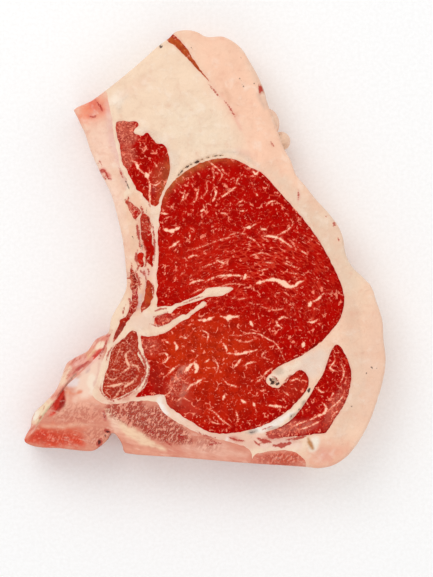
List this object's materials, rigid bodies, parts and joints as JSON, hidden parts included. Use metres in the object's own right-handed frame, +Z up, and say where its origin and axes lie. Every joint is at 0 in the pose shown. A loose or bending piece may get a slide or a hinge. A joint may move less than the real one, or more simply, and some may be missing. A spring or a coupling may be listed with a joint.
{
  "type": "raw bone-in rib steak",
  "caption": "Thick raw rib steak on the bone: large marbled eye muscle framed by smaller muscles, pale fat, the rib and a sawn backbone with its canal notch.",
  "frame": {"origin": "centre of the bounding box on the surface the steak lies on", "axes": "+X towards the outer fat, +Y towards the end of the rib, +Z up out of the shown cut face"},
  "size_m": [0.1988, 0.241, 0.0356],
  "materials": {
    "lean": "wet raw lean meat, deep red, softly glossy, marbled with fine fat",
    "dull_lean": "moist raw lean meat, duller red, netted with connective tissue",
    "inner_fat": "firm cream seam fat and white sinew, satin",
    "outer_fat": "firm pale pink back fat, satin, with small dark flecks",
    "rib_fat": "rib under its pale pink membrane, satin, with a few blood marks",
    "bone": "sawn raw bone, salmon with a red spongy core, matt and moist",
    "lining": "thin moist membrane in folds, pink and cream, glossy"
  },
  "bodies": {
    "root": {"eye_muscle": "lean", "inner_fat": "inner_fat", "outer_fat": "outer_fat", "backbone": "bone", "rib_bone": "rib_fat", "rib_muscle": "lean", "chine_muscle": "dull_lean", "fan_muscle": "lean", "skin_muscle": "dull_lean", "strap_muscle_1": "dull_lean", "strap_muscle_2": "dull_lean", "strap_muscle_3": "dull_lean", "strap_muscle_4": "dull_lean", "strap_muscle_5": "dull_lean", "belly_lining": "lining", "tip_cartilage": "bone"}
  },
  "joints": []
}
